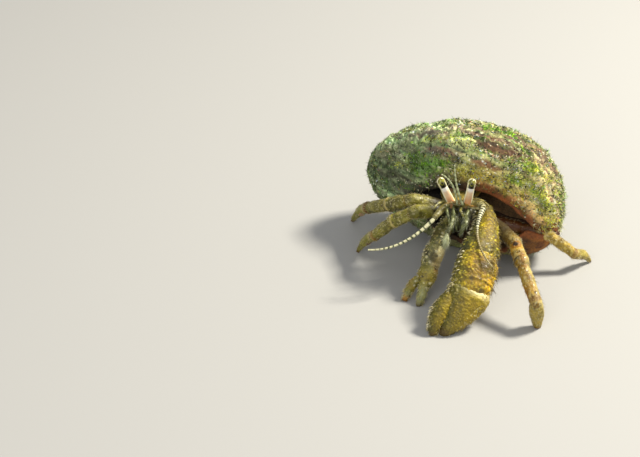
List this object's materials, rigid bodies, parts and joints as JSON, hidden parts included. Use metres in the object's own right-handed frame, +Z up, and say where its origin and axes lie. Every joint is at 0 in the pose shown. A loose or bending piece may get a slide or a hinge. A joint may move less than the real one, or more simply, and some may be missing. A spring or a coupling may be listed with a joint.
{
  "type": "hermit crab model",
  "caption": "Life-size still model of a hermit crab walking in an overgrown whelk-like shell, with one large claw and stalked eyes.",
  "frame": {"origin": "middle of the footprint box, on the floor the crab stands on", "axes": "+X is the crab's left, -Y the way it faces, +Z up"},
  "size_m": [0.0366, 0.0378, 0.0209],
  "materials": {
    "shell": "encrusted shell, brown and green with a turf of algae",
    "big_claw": "granular golden-olive exoskeleton with orange patches",
    "small_claw": "granular grey-olive exoskeleton",
    "legs": "olive-yellow exoskeleton with orange rings and dark spots",
    "carapace": "smooth olive-brown exoskeleton",
    "abdomen": "soft skin",
    "eyestalk": "smooth peach stalk with cream edges",
    "cornea": "glossy olive cornea with a dark pupil spot",
    "feelers": "translucent greenish white with dark bands"
  },
  "bodies": {
    "root": {"shell": "shell", "shield": "carapace", "thorax": "carapace", "abdomen_front": "abdomen", "abdomen_rear": "abdomen", "big_claw_merus": "big_claw", "big_claw_carpus": "big_claw", "big_claw_hand": "big_claw", "big_claw_finger": "big_claw", "small_claw_merus": "small_claw", "small_claw_carpus": "small_claw", "small_claw_hand": "small_claw", "small_claw_finger": "small_claw", "leg2_left_merus": "legs", "leg2_left_carpus": "legs", "leg2_left_propodus": "legs", "leg2_left_dactyl": "legs", "leg2_right_merus": "legs", "leg2_right_carpus": "legs", "leg2_right_propodus": "legs", "leg2_right_dactyl": "legs", "leg3_left_merus": "legs", "leg3_left_carpus": "legs", "leg3_left_propodus": "legs", "leg3_left_dactyl": "legs", "leg3_right_merus": "legs", "leg3_right_carpus": "legs", "leg3_right_propodus": "legs", "leg3_right_dactyl": "legs", "eyestalk_right": "eyestalk", "cornea_right": "cornea", "eyestalk_left": "eyestalk", "cornea_left": "cornea", "antenna_right_base": "feelers", "antenna_right_whip": "feelers", "antenna_left_base": "feelers", "antenna_left_whip": "feelers", "antennule_right": "feelers", "antennule_left": "feelers", "maxilliped_right": "feelers", "maxilliped_right_palp": "feelers", "maxilliped_left": "feelers", "leg4_right": "legs", "leg4_left": "legs", "leg5_right": "legs", "leg5_left": "legs"}
  },
  "joints": []
}
